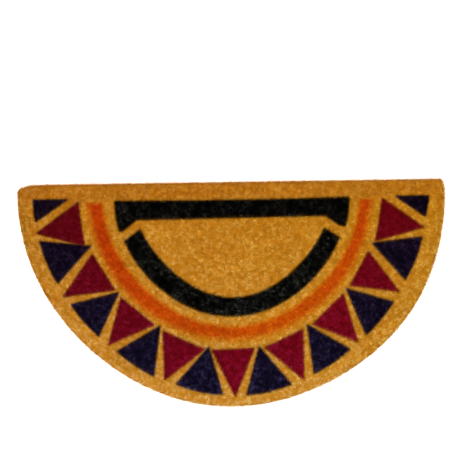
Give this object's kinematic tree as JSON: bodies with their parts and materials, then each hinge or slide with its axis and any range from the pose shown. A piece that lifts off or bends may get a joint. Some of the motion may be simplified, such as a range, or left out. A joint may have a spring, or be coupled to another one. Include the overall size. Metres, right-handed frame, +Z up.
{
  "type": "half-round coir doormat",
  "caption": "Half-round coir doormat with a level cut pile, dyed with concentric bands and a ring of triangles, for lying flat with its straight edge against a doorway.",
  "frame": {"origin": "centre of the mat's box at its underside, on the surface the mat lies on", "axes": "+X along the straight edge, +Y towards the straight edge that lies against the door, +Z up through the pile"},
  "size_m": [0.7512, 0.3946, 0.018],
  "materials": {
    "coir_natural": "rough golden coir pile, undyed",
    "coir_black_green": "rough coir pile, dyed black-green",
    "coir_orange": "rough coir pile, dyed orange",
    "coir_crimson": "rough coir pile, dyed crimson",
    "coir_navy": "rough coir pile, dyed navy"
  },
  "bodies": {
    "root": {"mat": "coir_natural"}
  },
  "joints": []
}
